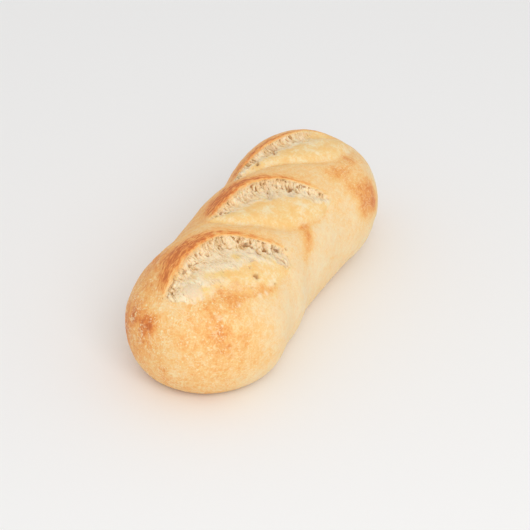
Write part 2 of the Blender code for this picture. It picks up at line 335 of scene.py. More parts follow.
# Its spots: places on the plain loaf and a radius, in millimetres, and how much browner it is there, or,
# below zero, paler.
BAKED = (
    (-96, 12, 43, 5.0, 0.52),
    (-92, 22, 42, 3.8, 0.34),
    (-89, 28, 31, 6.0, 0.26),
    (-98, 14, 35, 7.0, 0.16),
    (-83, 28, 42, 6.0, 0.12),
    (-81, 20, 53, 5.0, 0.14),
    (-64, 23, 54, 8.0, 0.24),
    (-88, 15, 51, 4.5, -0.10),
    (-90, 3, 52, 5.5, -0.12),
    (-82, -14, 54, 4.5, 0.24),
    (-86, -18, 50, 4.0, 0.20),
    (-74, -23, 52, 4.2, 0.24),
    (-74, -28, 49, 4.5, 0.14),
    (-57, -29, 52, 4.5, 0.18),
    (-88, -23, 44, 4.4, 0.26),
    (-90, -27, 37, 4.5, 0.16),
    (-79, -32, 41, 8.0, 0.12),
    (-99, -8, 38, 3.6, 0.18),
    (-90, -25, 33, 4.0, 0.10),
    (-86, 31, 26, 6.0, 0.14),
    (-100, 4, 34, 5.0, 0.12),
    (-100, 2, 21, 2.6, 0.22),
    (46, -32, 48, 5.0, 0.20),
    (53, -32, 47, 6.0, 0.34),
    (61, -33, 44, 6.0, 0.38),
    (58, -36, 38, 6.0, 0.36),
    (57, -37, 32, 6.0, 0.30),
    (48, -35, 41, 6.0, 0.36),
    (49, -37, 36, 5.5, 0.22),
    (64, -36, 33, 7.0, 0.22),
    (50, -24, 55, 4.8, 0.26),
    (44, -21, 57, 5.0, 0.22),
    (31, -30, 50, 6.5, 0.12),
    (62, -22, 54, 7.0, 0.28),
    (1, -25, 53, 4.2, 0.16),
    (-2, -27, 50, 4.0, 0.28),
    (-5, -29, 48, 4.2, 0.30),
    (-9, -31, 45, 4.2, 0.26),
    (-14, -33, 43, 4.5, 0.16),
    (-78, -33, 39, 13.0, 0.14),
    (-84, -31, 28, 12.0, 0.08),
    (-73, -38, 22, 9.0, 0.10),
    (-64, -26, 53, 6.0, 0.22),
    (-54, -31, 50, 6.0, 0.28),
    (-73, -18, 55, 4.5, 0.12),
    (-66, -18, 56, 5.0, 0.12),
    (0, -34, 33, 9.0, -0.08),
    (-28, -38, 28, 12.0, -0.08),
    (43, -29, 50, 4.5, 0.22),
    (27, -18, 57, 6.0, -0.10),
    (-74, -14, 56, 3.5, 0.16),
    (-20, -23, 55, 5.0, -0.08),
)

# Mesh: the cuts of the cube that it starts from, and how long its edges may be on each kind of surface.
FIRST_CUTS = 13
REFINE_PASSES = 7
CRUST_EDGE = 2.2 * MM
LIP_EDGE = 0.9 * MM
CRUMB_EDGE = 0.5 * MM
BASE_EDGE = 8 * MM
ON_BASE = 0.1 * MM

# The camera, in the photo's place: where it aims on the table, its turn and height, and its lens.
AIM = (27.45 * MM, 11.8 * MM, 0)
CAMERA_AZIMUTH = -64.0
CAMERA_ELEVATION = 34.95
CAMERA_DISTANCE = 1.28
CAMERA_LENS = 165.4
CAMERA_CLIP = 0.05

# Colours of 0 to 255 a channel, as they look.
CRUST_STOPS = (
    (0.00, (245, 224, 184)),
    (0.20, (246, 213, 161)),
    (0.40, (247, 199, 130)),
    (0.60, (242, 175, 97)),
    (0.80, (228, 142, 70)),
    (1.00, (203, 112, 52)),
)
# The crumb's colours from low to high: random tone, and painted shade at the low end where the crumb lies
# lower.
CRUMB_STOPS = (
    (0.00, (190, 146, 96)),
    (0.22, (238, 203, 154)),
    (0.45, (254, 229, 189)),
    (0.85, (255, 240, 209)),
)
SKIN_STOPS = (
    (0.36, (248, 200, 124)),
    (0.50, (249, 212, 147)),
    (0.64, (251, 232, 190)),
)
FILM = (251, 212, 138)
GOLD = (249, 204, 130)
# Painted shade in the holes and open cells.
PIT_SHADE = (190, 138, 86)
# Painted shade in the soft hollows.
HOLLOW_SHADE = (224, 200, 168)
# Painted shade in the gaps between crumb strands.
GAP_SHADE = (232, 202, 154)
SPECK = (254, 232, 184)
BLISTER = (251, 228, 192)
BUBBLE = (238, 214, 180)
FLOOR = (245, 245, 245)

# Stage.
FLOOR_SIZE = 12
FLOOR_LEVEL = 0
KEY_TOWARDS = (-0.62, -0.56, 0.72)
KEY_DISTANCE = 1.6
KEY_SIZE = 0.9
KEY_POWER = 8.4
KEY_COLOUR = (1.0, 0.985, 0.96)
SKY_STRENGTH = 0.745
SKY_COLOUR = (1.0, 0.995, 0.99)


def smooth_step(low, high, value):
    """0 at low, 1 at high, level beyond them, and a smooth rise between."""
    t = np.clip((value - low) / (high - low), 0, 1)
    return t * t * (3 - 2 * t)


def between(places, values, at):
    """Values from place to place, smoothly, level at each place."""
    places, values = np.asarray(places), np.asarray(values)
    i = np.clip(np.searchsorted(places, at) - 1, 0, len(places) - 2)
    return values[i] + (values[i + 1] - values[i]) * smooth_step(places[i], places[i + 1], at)


def flowing(places, values, at):
    """Values from place to place, along a curve through all of them."""
    places, values = np.asarray(places, float), np.asarray(values, float)
    slopes = np.gradient(values, places)
    i = np.clip(np.searchsorted(places, at) - 1, 0, len(places) - 2)
    gap = places[i + 1] - places[i]
    t = np.clip((at - places[i]) / gap, 0, 1)
    from_start = (2 * t**3 - 3 * t**2 + 1) * values[i] + (t**3 - 2 * t**2 + t) * gap * slopes[i]
    to_end = (3 * t**2 - 2 * t**3) * values[i + 1] + (t**3 - t**2) * gap * slopes[i + 1]
    return from_start + to_end


def noise_at(points, size, seed=0.0):
    """Smooth noise between -1 and 1, with bumps of about this size, or of these sizes along X, Y and Z."""
    shift = np.array((seed, 1.7 * seed, -0.6 * seed))
    return np.array([noise.noise(Vector(p)) for p in points / np.array(size) + shift])


def on_tray(z):
    """Flattens what would hang below the tray, with a rounded edge."""
    lifted = (z + np.sqrt(z * z + BASE_ROUNDING**2)) / 2
    sunk = (math.hypot(BASE_SUNK, BASE_ROUNDING) - BASE_SUNK) / 2
    return np.maximum(lifted - sunk, 0)


def plain_loaf(directions):
    """The plain loaf's points for directions on a unit sphere, and how far around from the top each is."""
    along = directions[:, 0]
    angle = np.arctan2(directions[:, 1], directions[:, 2])
    across, up = np.sin(angle), np.cos(angle)

    plus, minus = np.where(along < 0, np.array([NEAR_BLUNTNESS]).T, np.array([FAR_BLUNTNESS]).T)
    bluntness = (plus + minus) / 2 + (plus - minus) / 2 * across
    share = np.sqrt(np.clip(1 - np.abs(along) ** bluntness, 0, 1))
    n = SECTION_SQUARENESS
    reach = share * (np.abs(across) ** n + np.abs(up) ** n) ** (-1 / n)

    places, plus_widths, minus_widths, heights, drops = zip(*STATIONS)
    plus_width = between(places, plus_widths, along)
    minus_width = between(places, minus_widths, along)
    half_width = np.where(across > 0, plus_width, minus_width)
    height = between(places, heights, along)
    middle = WIDEST_AT * height
    drop = height * between(places, drops, along)
    z = middle + up * reach * np.where(up > 0, height - middle, drop)
    points = np.stack([LENGTH / 2 * along, half_width * across * reach, on_tray(z)], axis=1)
    return points, angle * GIRTH_RADIUS * share


def outward_at(points):
    """Unit vectors away from a spine inside the loaf."""
    spine = np.zeros_like(points)
    spine[:, 0] = np.clip(points[:, 0], SPINE_END - LENGTH / 2, LENGTH / 2 - SPINE_END)
    spine[:, 2] = WIDEST_AT * STATIONS[0][3]
    out = points - spine
    return out / np.linalg.norm(out, axis=1, keepdims=True)


def row_at(slash, name, lengthwise):
    """One of a slash's rows of values at places from 0 to 1 along it, on a curve through all of them."""
    return flowing(np.linspace(0, 1, len(slash[name])), slash[name], lengthwise)


def ear_height(slash, lengthwise):
    """How high the ear stands above the plain loaf."""
    return np.maximum(row_at(slash, "height", lengthwise), 0) * MM


def own_places(slash, first, second):
    """Places in two measures, for noise that differs from slash to slash."""
    return np.stack([first, second, np.full(len(first), slash["start"][0] * MM)], axis=1)


def slash_axes(slash):
    """A slash's start and length in metres, and its direction on the unrolled crust."""
    start = np.array(slash["start"]) * MM
    chord = np.array(slash["end"]) * MM - start
    length = np.linalg.norm(chord)
    return start, length, chord / length


def bed_level(open_share):
    """How far the bed lies above the plain loaf, from its near edge (0) to the ear (1)."""
    swell = BED_BULGE * np.sin(math.pi * np.clip(open_share / BULGE_SHARE, 0, 1))
    hollow = BED_HOLLOW * smooth_step(*HOLLOW_SHARES, open_share)
    return (swell - hollow) * smooth_step(0, BED_EDGE, open_share)


def across_slash(slash, along, around):
    """Where points lie about a slash: lengthwise from 0 to 1, the distance onto the crust past the ear's
    edge, the distance past the near edge, the share of the way from the near edge to the ear, and how open
    the slash is there."""
    start, length, (ux, uv) = slash_axes(slash)
    dx, dv = along - start[0], around - start[1]
    lengthwise = (dx * ux + dv * uv) / length
    crosswise = dv * ux - dx * uv
    ear = row_at(slash, "ear", lengthwise) * MM
    near = row_at(slash, "near", lengthwise) * MM
    slope = (row_at(slash, "ear", lengthwise + NUDGE) * MM - ear) / (NUDGE * length)
    marks = np.linspace(0, 1, EDGE_WANDER_STEPS)
    edge = np.stack([marks * length, 0 * marks + start[0], 0 * marks], axis=1)
    ear = ear + EDGE_WANDER * np.interp(lengthwise, marks, noise_at(edge, EDGE_WANDER_SIZE, 31.0))
    past_ear = (crosswise - ear) / np.sqrt(1 + slope**2)
    open_share = (crosswise - near) / np.maximum(ear - near, MM)
    first, last = slash["tapers"]
    ends = smooth_step(0, first, lengthwise) * smooth_step(1, 1 - last, lengthwise)
    return lengthwise, past_ear, crosswise - near, open_share, ends


def slash_moves(slash, points, around, out):
    """How a slash moves the points of the plain loaf."""
    lengthwise, past_ear, past_near, open_share, ends = across_slash(slash, points[:, 0], around)
    height = ear_height(slash, lengthwise)
    distances, shifts, shares = (np.array(column) for column in zip(*LIP))
    share = between(distances * MM, shares, past_ear)
    foot = np.where(past_ear < 0, bed_level(open_share) * ends, 0)
    crease = slash["crease"] * MM * np.exp(-((past_near / CREASE_WIDTH) ** 2)) * ends
    rise = foot + (height - foot) * share - crease
    shift = flowing(distances * MM, shifts * MM, past_ear) * np.minimum(height / FULL_EAR, 1)
    _, _, (ux, uv) = slash_axes(slash)
    sideways = np.cross(out, [1.0, 0.0, 0.0])
    return rise[:, None] * out + shift[:, None] * (ux * sideways - uv * np.array([1.0, 0.0, 0.0]))


def wall_climb(along, around):
    """How far points have climbed the walls under the ears."""
    climb = np.zeros(len(along))
    distances, _, shares = zip(*LIP)
    for slash in SLASHES:
        lengthwise, past_ear, _, _, _ = across_slash(slash, along, around)
        share = between(np.array(distances) * MM, shares, np.minimum(past_ear, WALL_TOP))
        climb = np.maximum(climb, ear_height(slash, lengthwise) * share)
    return climb


def torn_and_lip(slash, along, around):
    """How torn the bed is at points, from skin (0) to crumb (1), and how near the lip they are."""
    lengthwise, past_ear, _, open_share, ends = across_slash(slash, along, around)
    nearby = (open_share > -0.5) & (open_share < 1.2) & (ends > 0)
    flat = np.stack([along, around, 0 * along], axis=1)[nearby]
    open_share[nearby] += CRUMB_EDGE_WANDER * noise_at(flat, CRUMB_WANDER_SIZE, 41.0)
    lengthwise[nearby] += CRUMB_END_WANDER * noise_at(flat, CRUMB_WANDER_SIZE, 42.0)
    torn_from = row_at(slash, "torn_from", lengthwise)
    torn = smooth_step(torn_from, torn_from + 0.15, open_share) * smooth_step(0.1 * MM, -0.8 * MM, past_ear)
    torn *= smooth_step(-0.02, 0.06, open_share) * ends * smooth_step(*CRUMB_END, lengthwise)
    lip = np.exp(-((past_ear / LIP_REACH) ** 2)) * ends
    return torn, lip


def ridged(points, size, seed=0.0):
    """Noise between -1 and 1 with sharp crests."""
    return 1 - 2 * np.abs(noise_at(points, size, seed))


def cells_at(points, size, seed=0.0):
    """For each point, the distance to the middle of its cell, in sizes, and a random number from 0 to 1 for
    that cell."""
    near, chance = np.empty(len(points)), np.empty(len(points))
    for i, p in enumerate(points / size + seed):
        distances, middles = noise.voronoi(Vector(p))
        near[i] = distances[0]
        chance[i] = (noise.cell(middles[0] * 7.3) + 1) / 2
    return near, chance


def crumb_place(slash, along, around):
    """Where points lie in the torn crumb: lengthwise, which wanders, then across and up the ear's wall.
    With it, how far each is on the wall."""
    lengthwise, past_ear, past_near, _, _ = across_slash(slash, along, around)
    _, length, _ = slash_axes(slash)
    across = past_near + wall_climb(along, around)
    flat = own_places(slash, lengthwise * length, across)
    flat[:, 0] += STRAND_WANDER * noise_at(flat, STRAND_WANDER_SIZE, 2.0)
    return flat, smooth_step(*WALL, past_ear) * smooth_step(*WALL_END, lengthwise)


def crumb_relief(flat, wall):
    """The torn crumb's height about its bed, from strands across the slash, thin crevices between them, and
    open cells. With it, how deep in a cell each point is, from 0 to 1."""
    torn_more = TORN_LEAST + (1 - TORN_LEAST) * wall
    strands = noise_at(flat, (*STRAND_SIZE, MM), 3.0)
    threads = ridged(flat, (*THREAD_SIZE, MM), 3.5)
    lumps = noise_at(flat, (CRUMB_LUMP_SIZE, 1.5 * CRUMB_LUMP_SIZE, MM), 4.0)
    grain_height, grain_size = CRUMB_GRAIN
    grain = grain_height * noise_at(flat, grain_size, 5.0)

    split = smooth_step(CREVICE_SHARE, 0, np.abs(noise_at(flat, (*CREVICE_SIZE, MM), 13.0)))
    split *= smooth_step(0.1, 0.4, noise_at(flat, (3.5 * MM, 3.5 * MM, MM), 14.0) + 0.5 * wall)
    warped = flat.copy()
    warped[:, 0] += CELL_WARP * noise_at(flat, (3.5 * MM, 2.5 * MM, MM), 15.0)
    fewest, most = CELL_SHARES
    pits = np.zeros(len(flat))
    for size in CELL_SIZES:
        near, chance = cells_at(warped * (1.0, CELL_SQUEEZE, 1.0), size)
        openness = smooth_step(0, 0.35, fewest + (most - fewest) * wall - chance)
        pits = np.maximum(pits, smooth_step(0.55, 0.15, near) * openness)
    deep = np.maximum(CREVICE_DEPTH * split, CELL_DEPTH * pits)
    rise = STRAND_HEIGHT * strands + THREAD_HEIGHT * threads
    return rise * torn_more - deep + CRUMB_LUMP_HEIGHT * lumps + grain, pits


def ellipse_reach(along, around, x, v, half_length, half_width, turn):
    """How far points are from an ellipse's middle, where 1 is its rim. The ellipse is in millimetres."""
    c, s = math.cos(math.radians(turn)), math.sin(math.radians(turn))
    dx, dv = along / MM - x, around / MM - v
    return np.hypot((dx * c + dv * s) / half_length, (dv * c - dx * s) / half_width)


def holes_at(along, around):
    """The depth of the named holes, and how much painted shade each point takes in one, from 0 to 1, more
    in deeper ones.
    """
    depth, hole_shade = np.zeros(len(along)), np.zeros(len(along))
    flat = np.stack([along, around, np.zeros(len(along))], axis=1)
    wander = HOLE_WANDER * noise_at(flat, 1.6 * MM, 9.0)
    for *ellipse, deep in HOLES:
        inside = smooth_step(1.25, 0.4, ellipse_reach(along, around, *ellipse) + wander)
        depth = np.maximum(depth, deep * MM * inside)
        hole_shade = np.maximum(hole_shade, inside * min(0.2 + deep / 2.4, 1))
    return depth, hole_shade


def patches_at(along, around, ellipses, seed):
    """How much each point is in one of some soft, uneven ellipses, from 0 to 1."""
    flat = np.stack([along, around, np.zeros(len(along))], axis=1)
    wander = 0.6 * noise_at(flat, 3.6 * MM, seed) + 0.3 * noise_at(flat, 1.4 * MM, seed)
    share = np.zeros(len(along))
    for ellipse in ellipses:
        share = np.maximum(share, smooth_step(1.6, 0.3, ellipse_reach(along, around, *ellipse) + wander))
    return share


def blisters_at(along, around):
    """How high the blisters rise, how pale they are, and how much of each point they cover."""
    rise, pale, cover = (np.zeros(len(along)) for _ in range(3))
    for x, v, radius, height, paleness in BLISTERS:
        reach = np.hypot(along - x * MM, around - v * MM) / (radius * MM)
        dome = np.sqrt(np.clip(1 - reach**2, 0, 1))
        rise = np.maximum(rise, height * MM * dome)
        pale = np.maximum(pale, paleness * dome)
        cover = np.maximum(cover, smooth_step(1.1, 0.6, reach))
    return rise, pale, cover


def loaf_form(directions):
    """The surface's points for directions on a unit sphere, before the fine relief. With them, the plain
    loaf's points and how far around each is."""
    plain, around = plain_loaf(directions)
    out = outward_at(plain)
    fade = smooth_step(*FADE, plain[:, 2])
    points = plain + (LUMP_HEIGHT * fade * noise_at(plain, LUMP_SIZE))[:, None] * out
    for slash in SLASHES:
        points += slash_moves(slash, plain, around, out) * fade[:, None]
    return points, plain, around


def directions_of(bm):
    """The mesh's vertices as directions."""
    found = np.array([v.co for v in bm.verts])
    return found / np.linalg.norm(found, axis=1, keepdims=True)


def wanted_edge(points, plain, around):
    """The longest edge that the surface takes at each point."""
    edge = np.where(points[:, 2] < ON_BASE, BASE_EDGE, CRUST_EDGE)
    for slash in SLASHES:
        torn, lip = torn_and_lip(slash, plain[:, 0], around)
        edge = np.where(lip > 0.15, np.minimum(edge, LIP_EDGE), edge)
        edge = np.where(torn > 0.1, np.minimum(edge, CRUMB_EDGE), edge)
    return edge


def refine(bm):
    """Splits the edges that the surface stretches too long."""
    for _ in range(REFINE_PASSES):
        points, plain, around = loaf_form(directions_of(bm))
        wanted = wanted_edge(points, plain, around)
        bm.verts.index_update()
        ends = np.array([[v.index for v in e.verts] for e in bm.edges])
        lengths = np.linalg.norm(points[ends[:, 0]] - points[ends[:, 1]], axis=1)
        too_long = lengths > wanted[ends].min(axis=1)
        if not too_long.any():
            break
        long_edges = [edge for edge, is_long in zip(bm.edges, too_long) if is_long]
        bmesh.ops.subdivide_edges(bm, edges=long_edges, cuts=1)
        bmesh.ops.triangulate(bm, faces=bm.faces[:])


def surface_marks(plain, around):
    """What the material reads at each point, by name and from 0 to 1. With these marks, the relief's
    height, and the places in the torn crumb and about the lip, which strands and streaks follow."""
    along = plain[:, 0]
    count = len(along)
    torn_all, bed_all, golden, cells, relief, high = (np.zeros(count) for _ in range(6))
    toast, speckle = base_toast(plain), speckle_share(plain)
    strand_place, lip_place, lips = np.zeros((count, 3)), np.zeros((count, 3)), np.zeros(count)
    for slash in SLASHES:
        lengthwise, past_ear, past_near, open_share, ends = across_slash(slash, along, around)
        torn, _ = torn_and_lip(slash, along, around)
        lip = lip_toast(slash, lengthwise, past_ear, ends)
        here = lip > lips
        lip_place[here] = lip_places(slash, lengthwise, past_ear)[here]
        lips = np.maximum(lips, lip)
        toast += lip
        fold = np.exp(-(((past_near - FOLD_AT) / FOLD_WIDTH) ** 2)) * ends
        toast += FOLD_TOAST * fold * np.clip(row_at(slash, "fold", lengthwise), 0, 1)
        bed = smooth_step(-0.04, 0.08, open_share) * smooth_step(1.0 * MM, -0.8 * MM, past_ear) * ends
        bed_all = np.maximum(bed_all, bed)
        least, share = GOLDEN
        reach = least + share * lip_width(slash, lengthwise)
        rim = smooth_step(-reach, 0.1 * MM, past_ear) * bed
        golden = np.maximum(golden, rim)
        torn_here = torn > 0.001
        flat, wall = crumb_place(slash, along[torn_here], around[torn_here])
        wall *= 1 - RIM_CALM * rim[torn_here]
        strand_place[torn_here] = flat
        height, open_cells = np.zeros(count), np.zeros(count)
        height[torn_here], open_cells[torn_here] = crumb_relief(flat, wall)
        cells = np.maximum(cells, open_cells * smooth_step(0.5, 1.0, torn))
        relief += height * torn
        # Painted shade: the crumb is coloured darker where its relief lies lower.
        high += SHADE_OF_HEIGHT * height / MM * torn
        # Painted shade on the wall under the ear.
        high[torn_here] -= WALL_SHADE * wall
        torn_all = np.maximum(torn_all, torn)

    raised = around + wall_climb(along, around)
    film = patches_at(along, raised, FILMS, 11.0)
    # The hollows dip the crumb and are coloured with painted shade.
    hollow = patches_at(along, raised, HOLLOWS, 12.0) * torn_all
    depth, hole_shade = holes_at(along, raised)
    rise, pale, cover = blisters_at(along, raised)
    relief = relief * (1 - FILM_CALM * film) * (1 - BLISTER_CALM * cover)
    relief = relief + rise - depth - HOLLOW_DEPTH * hollow
    lumps = sum(height * noise_at(plain, size, seed) for height, size, seed in CRUST_RELIEF)
    relief += (1 - torn_all) * lumps
    lip_share = smooth_step(*STREAKED, lips)
    marks = {
        "toast": toast,
        "torn": torn_all,
        "film": film,
        # Painted shade in the soft hollows.
        "hollow": hollow,
        "golden": golden,
        # Painted shade in the holes and the open cells.
        "pit_shade": np.maximum(hole_shade, CELL_SHADE * cells),
        # How high the crumb lies, which the crumb's colour turns into painted shade where low.
        "high": 0.5 + high * (1 - BLISTER_CALM * cover),
        "bed": bed_all,
        "speckle": speckle * (1 - lip_share),
        "lip": lip_share,
        "pale": pale,
    }
    return marks, relief, {"strand_place": strand_place, "lip_place": lip_place}


def lip_width(slash, lengthwise):
    """How wide the browned lip is."""
    return np.maximum(row_at(slash, "lip_width", lengthwise), LEAST_LIP_WIDTH) * MM


def lip_places(slash, lengthwise, past_ear):
    """Where points lie about the ear's edge: past it and along it."""
    _, length, _ = slash_axes(slash)
    return own_places(slash, past_ear, lengthwise * length)


def lip_toast(slash, lengthwise, past_ear, ends):
    """How much browner the lip is than the crust about it: most along its rim, less over the ear behind."""
    strength = np.clip(row_at(slash, "toast", lengthwise), 0, 1) * ends
    width = lip_width(slash, lengthwise)
    flat = lip_places(slash, lengthwise, past_ear)
    ragged = 1 + 0.5 * noise_at(flat, (1.1 * MM, 5.0 * MM, MM), 21.0)
    ragged += 0.25 * noise_at(flat, 1.4 * MM, 22.0)
    middle = RIM_MIDDLE * width
    below, above = RIM_SPREADS
    spread = np.where(past_ear < middle, below * width, above * width)
    rim = np.exp(-(((past_ear - middle) / spread) ** 2))
    behind = smooth_step(11 * MM, 2 * MM, past_ear) * smooth_step(-1.0 * MM, 1.5 * MM, past_ear)
    return strength * (RIM_TOAST * rim * ragged + BEHIND_TOAST * behind)


def base_toast(plain):
    """How baked the crust is, apart from the lips and folds of the slashes, with painted shade on its +Y
    side.
    """

    def change(values, start, end, most):
        return most * smooth_step(start, end, values)

    x, y, z = plain.T
    near_end = change(x, *BROWN_NEAR_END)
    pale_side = change(y, *PALE_SIDE) * (1 - PALE_SIDE_LOSS * near_end / BROWN_NEAR_END[2])
    # The +Y side's browning is partly painted shade.
    toast = CRUST_TOAST - pale_side + change(y, *BROWN_AND_SHADED_SIDE) + near_end + change(x, *BROWN_FAR_END)
    toast += change(z, *BROWN_BY_TRAY)
    for bx, by, bz, radius, most in BAKED:
        reach = np.linalg.norm(plain / MM - (bx, by, bz), axis=1) / radius
        toast += most * np.exp(-(reach**2))
    return toast


def speckle_share(plain):
    """How thick the crust's tiny pale blisters lie: most on the near end, less so on its -Y side, and more
    on the far end than between."""
    x, y, _ = plain.T
    near_end = smooth_step(-52 * MM, -84 * MM, x) * (1 - 0.6 * smooth_step(-18 * MM, -36 * MM, y))
    far_end = smooth_step(34 * MM, 60 * MM, x) * smooth_step(-38 * MM, -20 * MM, y)
    return 0.5 + 0.5 * near_end + 0.35 * far_end


def build_loaf():
    """A cube cut into a grid and refined, whose vertices are then pulled onto the loaf's surface."""
    bm = bmesh.new()
    bmesh.ops.create_cube(bm, size=2)
    bmesh.ops.subdivide_edges(bm, edges=bm.edges[:], cuts=FIRST_CUTS, use_grid_fill=True)
    refine(bm)
    points, plain, around = loaf_form(directions_of(bm))
    points[:, :2] -= (points.min(axis=0) + points.max(axis=0))[:2] / 2
    for vertex, point in zip(bm.verts, points):
        vertex.co = point
    bmesh.ops.recalc_face_normals(bm, faces=bm.faces[:])
    bm.normal_update()
    normals = np.array([v.normal for v in bm.verts])
    marks, relief, places = surface_marks(plain, around)
    points += (relief * smooth_step(*FADE, plain[:, 2]))[:, None] * normals
    points = np.clip(points, *np.array(cad_box))
    for vertex, point in zip(bm.verts, points):
        vertex.co = point

    mesh = bpy.data.meshes.new("baguette")
    bm.to_mesh(mesh)
    bm.free()
    mesh.shade_smooth()
    for name, values in marks.items():
        layer = mesh.attributes.new(name, "FLOAT", "POINT")
        layer.data.foreach_set("value", np.clip(values, 0, 1).astype(np.float32))
    for name, values in places.items():
        layer = mesh.attributes.new(name, "FLOAT_VECTOR", "POINT")
        layer.data.foreach_set("vector", values.ravel().astype(np.float32))
    loaf = bpy.data.objects.new("baguette", mesh)
    bpy.context.scene.collection.objects.link(loaf)
    return loaf


class Shading:
    """Short ways to add and join shader nodes."""

    def __init__(self, name):
        self.material = bpy.data.materials.new(name)
        self.material.use_nodes = True
        self.tree = self.material.node_tree
        self.shader = self.tree.nodes["Principled BSDF"]
        self.place = self.node("ShaderNodeTexCoord").outputs["Object"]

    def node(self, kind, settings=None, inputs=None):
        made = self.tree.nodes.new(kind)
        for name, value in (settings or {}).items():
            setattr(made, name, value)
        for name, value in (inputs or {}).items():
            self.put(made.inputs[name], value)
        return made

    def put(self, socket, value):
        if isinstance(value, bpy.types.NodeSocket):
            self.tree.links.new(value, socket)
        else:
            socket.default_value = value

    def mark(self, name):
        return self.node("ShaderNodeAttribute", {"attribute_name": name}).outputs["Fac"]

    def maths(self, operation, a, b=0.0, clamp=False):
        settings = {"operation": operation, "use_clamp": clamp}
        return self.node("ShaderNodeMath", settings, {0: a, 1: b}).outputs[0]

    def scaled(self, value, factor, offset=0.0):
        inputs = {0: value, 1: factor, 2: offset}
        return self.node("ShaderNodeMath", {"operation": "MULTIPLY_ADD"}, inputs).outputs[0]

    def product(self, first, *others):
        for other in others:
            first = self.maths("MULTIPLY", first, other)
        return first

    def total(self, first, *others):
        for other in others:
            first = self.maths("ADD", first, other)
        return first

    def noise(self, size, detail=2.0, roughness=0.5, place=None, distortion=0.0):
        inputs = {"Vector": place or self.place, "Scale": 1 / size, "Detail": detail}
        inputs.update({"Roughness": roughness, "Distortion": distortion})
        return self.node("ShaderNodeTexNoise", None, inputs).outputs["Fac"]

    def lines(self, size, none, full, **settings):
        """Thin lines where a smooth noise passes its middle: none and full are distances from it."""
        away = self.maths("ABSOLUTE", self.scaled(self.noise(size, **settings), 1, -0.5))
        return self.rise(away, none, full)

    def shifted(self, offset):
        inputs = {"Vector": self.place, "Location": offset}
        return self.node("ShaderNodeMapping", None, inputs).outputs["Vector"]

    def drawn_out(self, name, share):
        """A place kept on the mesh, in which patterns are longer the second way, to 1 over this share."""
        place = self.node("ShaderNodeAttribute", {"attribute_name": name}).outputs["Vector"]
        inputs = {0: place, 1: (1.0, share, 1.0)}
        return self.node("ShaderNodeVectorMath", {"operation": "MULTIPLY"}, inputs).outputs[0]

    def strayed(self, size, distance):
        """The place, moved about by a noise, which makes round things uneven."""
        inputs = {"Vector": self.place, "Scale": 1 / size, "Detail": 1.0}
        moves = self.node("ShaderNodeTexNoise", None, inputs).outputs["Color"]
        inputs = {0: moves, 1: (2 * distance,) * 3, 2: self.place}
        return self.node("ShaderNodeVectorMath", {"operation": "MULTIPLY_ADD"}, inputs).outputs[0]

    def dots(self, size):
        """Small round dots in about half the cells of this size."""
        inputs = {"Vector": self.strayed(0.6 * size, 0.35 * size), "Scale": 1 / size}
        cells = self.node("ShaderNodeTexVoronoi", None, inputs)
        chance = self.node("ShaderNodeSeparateColor", None, {"Color": cells.outputs["Color"]}).outputs[0]
        return self.product(self.rise(cells.outputs["Distance"], 0.42, 0.18), self.rise(chance, 0.4, 0.5))

    def rise(self, value, low, high):
        """0 below low, 1 above high, and smooth between. High may be the lower."""
        settings = {"interpolation_type": "SMOOTHSTEP"}
        inputs = {"Value": value, "From Min": low, "From Max": high}
        return self.node("ShaderNodeMapRange", settings, inputs).outputs["Result"]

    def ramp(self, value, stops):
        made = self.node("ShaderNodeValToRGB", None, {"Fac": value})
        elements = made.color_ramp.elements
        while len(elements) < len(stops):
            elements.new(0.5)
        for element, (place, colour) in zip(elements, stops):
            element.position = place
            element.color = linear(colour)
        return made.outputs["Color"]

    def mix(self, share, a, b):
        made = self.node("ShaderNodeMix", {"data_type": "RGBA"}, {0: share})
        self.put(made.inputs[6], a)
        self.put(made.inputs[7], b)
        return made.outputs[2]


def linear(colour):
    """A colour of 0 to 255 a channel, as eyes see it, in the linear values that shaders take."""
    shares = [channel / 255 for channel in colour]
    return (*(c / 12.92 if c <= 0.04045 else ((c + 0.055) / 1.055) ** 2.4 for c in shares), 1.0)


def crust_colour(s):
    """Baked crust. With it, how much each point is a tiny blister or a crackle line."""
    # Uneven browning over the marks' own: wide patches, fine ones and grain, and streaks on the lips.
    wide = s.scaled(s.noise(13 * MM, 3), 0.42, -0.21)
    fine = s.scaled(s.noise(3.2 * MM, 3, 0.6), 0.6, -0.3)
    grain = s.scaled(s.rise(s.noise(0.9 * MM, 1), 0.35, 0.65), 0.14, -0.07)
    uneven = s.product(s.total(wide, fine, grain), s.scaled(s.mark("speckle"), 0.6, 0.4))
    streaks = s.rise(s.noise(0.8 * MM, 3, 0.65, place=s.drawn_out("lip_place", 0.22)), 0.32, 0.68)
    uneven = s.total(uneven, s.product(s.scaled(streaks, 0.44, -0.22), s.mark("lip")))
    crust = s.ramp(s.maths("ADD", s.mark("toast"), uneven, clamp=True), CRUST_STOPS)

    # Tiny pale blisters, fine crackle lines and a few long ones.
    patches = s.rise(s.noise(5 * MM, 2, place=s.shifted((0.3, 0.1, 0.2))), 0.34, 0.56)
    dots = s.product(s.maths("MAXIMUM", s.dots(1.15 * MM), s.dots(1.9 * MM)), patches)
    crackle = s.lines(3.4 * MM, 0.05, 0.015, place=s.shifted((0.9, 0.4, 0.6)), distortion=0.8)
    crackle = s.product(crackle, s.rise(s.noise(7 * MM, 2), 0.48, 0.62))
    swirls = s.lines(12 * MM, 0.022, 0.004, detail=1, place=s.shifted((0.2, 0.8, 0.5)), distortion=1.4)
    swirls = s.product(swirls, s.rise(s.noise(6 * MM, 2), 0.4, 0.6))
    lines = s.maths("MAXIMUM", crackle, swirls)
    marked = s.maths("MAXIMUM", s.scaled(dots, 0.7), s.scaled(lines, 0.5))
    marked = s.product(marked, s.mark("speckle"))
    crust = s.mix(marked, crust, linear(SPECK))
    return s.mix(s.mark("pale"), crust, linear(BLISTER)), marked


